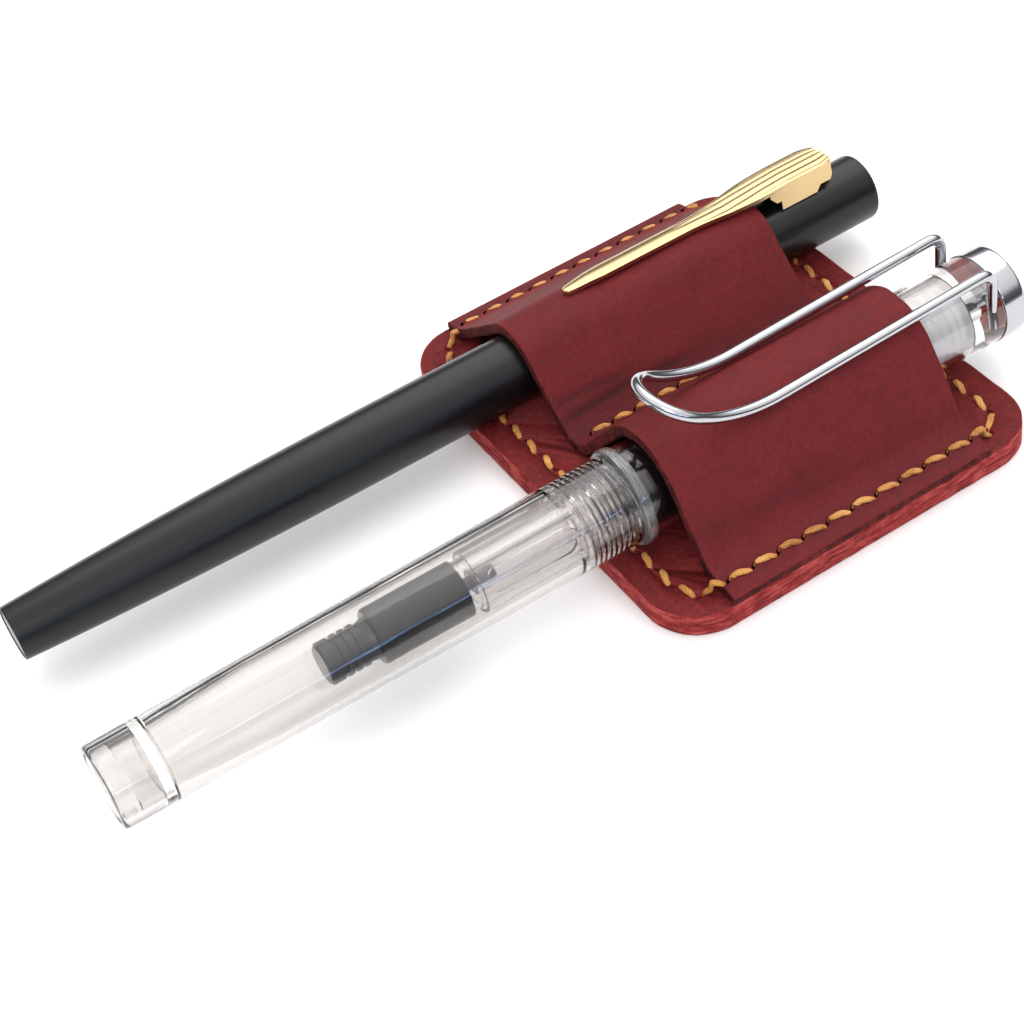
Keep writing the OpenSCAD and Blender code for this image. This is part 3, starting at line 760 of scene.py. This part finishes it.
def clip_blade():
    bm = bmesh.new()
    bmesh.ops.create_grid(bm, x_segments=36, y_segments=150, size=0.5)
    for v in bm.verts:
        s, t = 2 * v.co.x, v.co.y + 0.5
        y = CLIP_TIP + (CLIP_END - CLIP_TIP) * t
        w = clip_half_width(y)
        if t < 1e-5:
            w *= 0.35
        flutes = 3 + 2 * min(1, max(0, (y - 14) / 8))
        inner = max(0, 1 - (abs(s) / 0.86) ** 6)
        near_tip = min(1, max(0, (y - CLIP_TIP) / 4))
        fluted = min(1, max(0, (y - 7) / 9))
        groove = 0.16 * inner * near_tip * fluted * (0.5 + 0.5 * math.cos(math.pi * flutes * s))
        crown = 0.35 * (1 - s * s) * (0.5 + w / 6)
        rise = 0.55 * min(1, max(0, (y - 16) / 10))
        v.co = Vector((s * w, y, 0.35 + crown - groove + rise - 0.25 * (1 - near_tip)))
    bmesh.ops.solidify(bm, geom=list(bm.faces), thickness=0.55)
    bmesh.ops.recalc_face_normals(bm, faces=bm.faces)
    return bm


def folded_wall(bm, side):
    """One folded side of the head, stepped at its lower edge."""
    steps = [(-11.4, 7.1), (-10.4, 6.0), (-9.6, 6.0), (-9.6, 4.55), (-3.4, 4.55), (-2.6, 5.5),
             (-0.8, 5.5), (-0.4, 6.2), (-0.4, 8.4), (-11.4, 8.2)]
    verts = [bm.verts.new((side * 2.95, CLIP_END + y, z - CLIP_IN)) for y, z in steps]
    face = bm.faces.new(verts)
    made = bmesh.ops.extrude_face_region(bm, geom=[face])["geom"]
    bmesh.ops.translate(bm, vec=(-side * 0.5, 0, 0), verts=moved_verts(made))


def clip_block(bm, size, centre):
    made = bmesh.ops.create_cube(bm, size=1)
    place = Matrix.Translation(centre) @ Matrix.Diagonal((*size, 1))
    bmesh.ops.transform(bm, matrix=place, verts=made["verts"])
    edges = [e for e in bm.edges if all(v in made["verts"] for v in e.verts)]
    bmesh.ops.bevel(bm, geom=edges, offset=0.12, segments=2, profile=0.5, affect="EDGES", material=-1)


clip = clip_blade()
for side in (-1, 1):
    folded_wall(clip, side)
clip_block(clip, (4.6, 0.7, 2.9), (0, CLIP_END - 0.4, 6.95 - CLIP_IN))
clip_block(clip, (2.4, 1.2, 2.6), (0, CLIP_END - 0.8, 4.8 - CLIP_IN))
bmesh.ops.recalc_face_normals(clip, faces=clip.faces)
bmesh.ops.translate(clip, vec=(0, 0, CLIP_IN), verts=clip.verts)
bmesh.ops.rotate(clip, cent=(0, 0, 0), matrix=Matrix.Rotation(CLIP_TURN, 3, "Y"), verts=clip.verts)
bmesh.ops.translate(clip, vec=(black_x, 0, black_z), verts=clip.verts)
piece("gold_clip_blade", clip, "black_clip", "gold", ["gold_clip"], pale_gold, sharp=35)

# ---- Clear pen ----
# Injection-moulded water-clear acrylic, polished on the outside: cap, barrel, end plug and the
# threaded collar that joins grip and barrel. The inner cap is frosted. Every wall has a thickness.


def clear_acrylic(name, colour, rough, milky=0.0):
    """Clear acrylic with faint moulding streaks. Lamps shine through it, so its shadow stays light.

    milky is the share of light that it scatters.
    """
    material, nt, shader = new_material(name)
    shader.inputs["Base Color"].default_value = srgb(colour)
    shader.inputs["Transmission Weight"].default_value = 1.0 - milky
    shader.inputs["IOR"].default_value = 1.49
    place = add_node(nt, "TexCoord").outputs["Object"]
    flow = add_node(nt, "TexNoise", Vector=place, Scale=90, Detail=2, Roughness=0.5)
    value = add_node(nt, "MapRange", Value=flow.outputs["Fac"])
    value.inputs["To Min"].default_value = rough * 0.5
    value.inputs["To Max"].default_value = rough * 2
    wire_up(nt, shader.inputs["Roughness"], value.outputs["Result"])
    drawn = add_node(nt, "Mapping", Vector=place, Scale=(1, 0.025, 1))
    streak = add_node(nt, "TexNoise", Vector=drawn.outputs["Vector"], Scale=750, Detail=3, Roughness=0.6)
    bump = add_node(nt, "Bump", Strength=0.3, Distance=0.00006, Height=streak.outputs["Fac"])
    wire_up(nt, shader.inputs["Normal"], bump.outputs["Normal"])
    clear = add_node(nt, "BsdfTransparent", Color=(0.95, 0.945, 0.94, 1))
    path = add_node(nt, "LightPath")
    mix = add_node(nt, "MixShader", Fac=path.outputs["Is Shadow Ray"])
    nt.links.new(shader.outputs["BSDF"], mix.inputs[1])
    nt.links.new(clear.outputs["BSDF"], mix.inputs[2])
    nt.links.new(mix.outputs["Shader"], nt.nodes["Material Output"].inputs["Surface"])
    return material


acrylic = clear_acrylic("clear_acrylic", "e8e6e4", 0.02)
inner_acrylic = clear_acrylic("clear_inner_acrylic", "fbfafa", 0.05)
frosted_acrylic = clear_acrylic("frosted_acrylic", "fcfbfb", 0.2, 0.3)
bead_acrylic = clear_acrylic("bead_acrylic", "fcfbfb", 0.1, 0.09)
CLEAR_R, LIP_R = 6.5, clear_high.x - clear_x
clear_lip, clear_top = clear_low.y, clear_high.y


def ridges(y0, y1, pitch, outer, inner):
    """Corners of rings round a tube, from y0 to y1."""
    corners = []
    for i in range(int(abs(y1 - y0) / pitch) + 1):
        step = math.copysign(pitch, y1 - y0)
        y = y0 + i * step
        corners += [(inner, y), (outer, y + step * 0.25), (outer, y + step * 0.55), (inner, y + step * 0.8)]
    return corners


SCREW_R, CAP_INNER_R, CAP_FLOOR = 1.6, 5.7, 29
lip_end = clear_lip + 1.5
clear_cap = turned(outline((SCREW_R, CAP_FLOOR), (CAP_INNER_R, CAP_FLOOR, 0.3),
                           (CAP_INNER_R, clear_lip, 0.15), (LIP_R, clear_lip, 0.4),
                           (LIP_R, lip_end, 0.4), (CLEAR_R, lip_end, 0.1),
                           (CLEAR_R, clear_top, 0.12), (SCREW_R, clear_top)), clear_x, clear_z)
for f in clear_cap.faces:
    f.material_index = 1 if f.calc_center_median().y < lip_end + 0.2 else 0
piece("clear_cap", clear_cap, "clear_cap", "clear_plastic", ["clear_cap_tube"], acrylic, bead_acrylic)
INNER_BORE_R, INNER_R, INNER_END = 5.0, 5.55, 28.9
inner = turned(outline((INNER_BORE_R, 0, 0.1), (INNER_R, 0, 0.1), *ridges(20, 27, 1.3, 5.42, INNER_R),
                       (INNER_R, INNER_END, 0.1), (SCREW_R, INNER_END), (SCREW_R, 28),
                       (INNER_BORE_R, 28, 0.3)), clear_x, clear_z)
piece("clear_inner_cap_tube", inner, "clear_cap", "clear_plastic", ["clear_inner_cap"], frosted_acrylic)

clear_barrel_low, clear_barrel_high = box_mm("clear_barrel_tube")
tail, joint = clear_barrel_low.y, clear_barrel_high.y
FRONT_R, END_R, POCKET_R, THREAD_IN = 6.3, 5.7, 4.75, 5.4
POCKET_END, BARREL_FLOOR = -95.2, -93.8
barrel_rings = ridges(-34, -27.3, 0.8, 5.54, THREAD_IN)
clear_barrel = turned(outline((FRONT_R, joint, 0.2), (END_R, tail, 0.7), (POCKET_R, tail, 0.2),
                              (POCKET_R, POCKET_END, 0.1), (0, POCKET_END), (0, BARREL_FLOOR),
                              (4.1, BARREL_FLOOR, 0.6), (5.0, -80), (5.05, -35.4), (THREAD_IN, -35),
                              *barrel_rings, (THREAD_IN, joint)), clear_x, clear_z)
piece("clear_barrel", clear_barrel, "clear_barrel", "clear_plastic", ["clear_barrel_tube"], acrylic)
PLUG_R, CUP_R, CUP_END, PLUG_TOP = 4.7, 3.9, -98.4, -95.25
end_plug = turned(outline((0, tail + 0.4), (PLUG_R, tail + 0.4, 0.4), (PLUG_R, PLUG_TOP, 0.1),
                          (CUP_R, PLUG_TOP, 0.1), (CUP_R, CUP_END, 0.3), (0, CUP_END)), clear_x, clear_z)
piece("clear_end_plug", end_plug, "clear_barrel", "clear_plastic", ["clear_barrel_plug"], inner_acrylic)


def finished_copy(name, node, body, slot, *materials, sharp=35):
    """A CAD node's own shape with its triangles joined and its normals made anew."""
    source = frame["nodes"][node].data
    bm = bmesh.new()
    verts = [bm.verts.new(v.co * PER_METRE) for v in source.vertices]
    for polygon in source.polygons:
        bm.faces.new([verts[i] for i in polygon.vertices])
    bmesh.ops.remove_doubles(bm, verts=bm.verts, dist=1e-4)
    bmesh.ops.recalc_face_normals(bm, faces=bm.faces)
    return piece(name, bm, body, slot, [node], *materials, sharp=sharp)


finished_copy("threaded_collar", "clear_collar", "clear_section", "clear_plastic", inner_acrylic)

# ---- Chrome finial and wire clip ----
# The finial is a turned brass button, chromed. The clip is one length of spring wire bent into a
# long bow, polished and chromed, with both ends let into the cap's head.

chrome = plated_metal("chrome", "b9babf", 0.06, 0.06)
finial_high = box_mm("chrome_finial")[1]
FINIAL_R = finial_high.x - clear_x
finial = turned(outline((0, 36), (1.55, 36), (1.55, clear_top + 0.06), (FINIAL_R, clear_top + 0.06, 0.2),
                        (FINIAL_R, finial_high.y, 0.7), (FINIAL_R - 0.9, finial_high.y),
                        (FINIAL_R - 1.2, finial_high.y - 0.12), (0, finial_high.y - 0.05)), clear_x, clear_z)
piece("chrome_finial_button", finial, "clear_cap", "chrome", ["chrome_finial"], chrome, sharp=30)

WIRE_R = 0.8
LEG_X, LEG_Y = 5.25, 32.4
BEND_R = 1.9
WIRE_TOP = clear_z + 9.2
KICK, KICK_R = math.radians(34), 22.0
DIP_Y, DIP = -3.5, 1.0


def arc_points(centre, radius, u, v, start, stop, steps):
    """Points of an arc about a centre in the plane of u and v."""
    return [centre + radius * (u * math.cos(a) + v * math.sin(a))
            for a in (start + (stop - start) * i / steps for i in range(steps + 1))]


def wire_line():
    """The clip's centre line: up one leg, down one side, up the kicked end, round the bow and back."""
    dip_z = WIRE_TOP - DIP
    bow = Vector((0, DIP_Y - KICK_R * math.sin(KICK), dip_z + KICK_R * (1 - math.cos(KICK))))
    half = [Vector((LEG_X, LEG_Y, clear_z - 0.35))]
    half += arc_points(Vector((LEG_X, LEG_Y - BEND_R, WIRE_TOP - BEND_R)), BEND_R, Vector((0, 1, 0)),
                       Vector((0, 0, 1)), 0, math.pi / 2, 14)
    half += arc_points(Vector((LEG_X, DIP_Y, dip_z + KICK_R)), KICK_R, Vector((0, 0, -1)),
                       Vector((0, -1, 0)), 0, KICK, 20)[:-1]
    half += arc_points(bow, LEG_X, Vector((1, 0, 0)), Vector((0, -math.cos(KICK), math.sin(KICK))),
                       0, math.pi / 2, 16)
    flip = Vector((-1, 1, 1))
    points = half + [p * flip for p in half[-2::-1]]
    return [p + Vector((clear_x, 0, 0)) for p in points]


def swept(points, radius, sides=24):
    """A round rod that follows points, closed at both ends."""
    curve = bpy.data.curves.new("rod", "CURVE")
    curve.dimensions = "3D"
    curve.bevel_depth = radius
    curve.bevel_resolution = sides // 4
    curve.use_fill_caps = True
    spline = curve.splines.new("POLY")
    spline.points.add(len(points) - 1)
    for target, p in zip(spline.points, points):
        target.co = (*p, 1)
    source = bpy.data.objects.new("rod", curve)
    bpy.context.scene.collection.objects.link(source)
    mesh = bpy.data.meshes.new_from_object(source)
    bm = bmesh.new()
    bm.from_mesh(mesh)
    bpy.data.objects.remove(source)
    bpy.data.curves.remove(curve)
    bpy.data.meshes.remove(mesh)
    bmesh.ops.remove_doubles(bm, verts=bm.verts, dist=1e-5)
    bmesh.ops.recalc_face_normals(bm, faces=bm.faces)
    return bm


def smooth_line(points, step):
    """The same line through closely spaced points, with its corners eased."""
    line = spaced(points, step)
    for _ in range(6):
        line = [line[0]] + [(a + 2 * b + c) / 4 for a, b, c in zip(line, line[1:], line[2:])] + [line[-1]]
    return line


wire = swept(smooth_line(wire_line(), 0.35), WIRE_R)
piece("chrome_wire_clip", wire, "clear_clip", "chrome", ["wire_clip"], chrome, sharp=60)

# ---- Converter, grips, nibs and feeds ----
# What the pens hold inside: black and clear moulded plastic, pressed steel nibs and a rubber ring.

smoke = satin_plastic("smoky_plastic", "2c2c31", 0.14, 0.02)
steel = plated_metal("nib_steel", "b9bbc0", 0.12, 0.08)
rubber = satin_plastic("seal_rubber", "0d0d0d", 0.6)
ink = satin_plastic("ink_cartridge", "1c2547", 0.12, 0.02)

KEPT = [("black_inner_cap", satin_black), ("black_grip", polished_black), ("black_trim_ring", pale_gold),
        ("black_feed", satin_black), ("black_nib", pale_gold), ("ink_cartridge", ink),
        ("finial_screw", steel), ("clear_grip", polished_black), ("section_o_ring", rubber),
        ("clear_feed", polished_black), ("clear_nib", steel), ("converter_tube", inner_acrylic),
        ("converter_sleeve", polished_black), ("converter_knob", smoke), ("converter_piston", inner_acrylic)]
body_of = {n: b for b, members in frame["record"]["behaviour"]["bodies"].items() for n in members}
slot_of = {s["node"]: s["material_slot"] for s in frame["record"]["subparts"]}
for node, material in KEPT:
    finished_copy(node + "_part", node, body_of[node], slot_of[node], material)

# ---- Studio ----
# A white table under a large soft lamp, with a small fill and a thin blue strip on the clear pen's
# side. The camera looks down at the case from that side too, at about half a right angle.


def studio_floor():
    bm = bmesh.new()
    bmesh.ops.create_grid(bm, x_segments=1, y_segments=1, size=3.0)
    mesh = bpy.data.meshes.new("table")
    bm.to_mesh(mesh)
    bm.free()
    material, _, shader = new_material("white_table")
    shader.inputs["Base Color"].default_value = (0.96, 0.955, 0.95, 1)
    shader.inputs["Roughness"].default_value = 0.9
    shader.inputs["Specular IOR Level"].default_value = 0.1
    mesh.materials.append(material)
    floor = bpy.data.objects.new("table", mesh)
    bpy.context.scene.collection.objects.link(floor)


def soft_lamp(name, place, aim, size, power, colour=(1, 1, 1)):
    """A soft box at a place, turned to face another."""
    lamp = bpy.data.lights.new(name, "AREA")
    lamp.shape = "RECTANGLE"
    lamp.size, lamp.size_y = size
    lamp.energy = power
    lamp.color = colour
    obj = bpy.data.objects.new(name, lamp)
    bpy.context.scene.collection.objects.link(obj)
    obj.location = place
    obj.rotation_euler = (Vector(aim) - Vector(place)).to_track_quat("-Z", "Y").to_euler()
    return obj


def world_light():
    """Bright overhead and dark just above the table's level. The camera itself sees plain white."""
    world = bpy.data.worlds.new("studio")
    bpy.context.scene.world = world
    world.use_nodes = True
    nt = world.node_tree
    background = nt.nodes["Background"]
    direction = add_node(nt, "TexCoord").outputs["Generated"]
    height = add_node(nt, "SeparateXYZ", Vector=direction).outputs["Z"]
    shade = ramp(nt, height, (0.0, (0.45, 0.44, 0.44, 1)), (0.1, (0.1, 0.1, 0.11, 1)),
                 (0.3, (0.2, 0.2, 0.21, 1)), (0.5, (1.1, 1.09, 1.08, 1)), (1.0, (1.7, 1.68, 1.65, 1)))
    path = add_node(nt, "LightPath").outputs["Is Camera Ray"]
    mix = add_node(nt, "Mix", {"data_type": "RGBA"}, Factor=path)
    nt.links.new(shade, mix.inputs[6])
    mix.inputs[7].default_value = (1, 1, 1, 1)
    nt.links.new(mix.outputs[2], background.inputs["Color"])
    background.inputs["Strength"].default_value = 1.0


studio_floor()
world_light()
soft_lamp("key", (-0.35, 0.4, 0.75), (0, -0.02, 0), (1.0, 0.9), 3.6)
soft_lamp("fill", (0.5, -0.35, 0.5), (0, -0.04, 0), (0.35, 0.35), 1.2)
soft_lamp("blue_strip", (0.62, -0.05, 0.25), (0, -0.05, 0.01), (0.6, 0.03), 0.4, (0.3, 0.55, 1.0))

camera_data = bpy.data.cameras.new("camera")
camera_data.lens = 74.834
camera_data.sensor_width = 36
camera_data.clip_start = 0.01
camera = bpy.data.objects.new("camera", camera_data)
bpy.context.scene.collection.objects.link(camera)
right = Vector((0.5298, 0.8367, -0.1386))
up = Vector((-0.5488, 0.4628, 0.6962))
back = Vector((0.6467, -0.2927, 0.7044))
turn = Matrix((right, up, back)).transposed().to_4x4()
camera.matrix_world = Matrix.Translation((0.18943, -0.11946, 0.20662)) @ turn
bpy.context.scene.camera = camera
bpy.context.scene.view_settings.view_transform = "Standard"
bpy.context.scene.cycles.max_bounces = 24
bpy.context.scene.cycles.transmission_bounces = 24
bpy.context.scene.cycles.transparent_max_bounces = 24
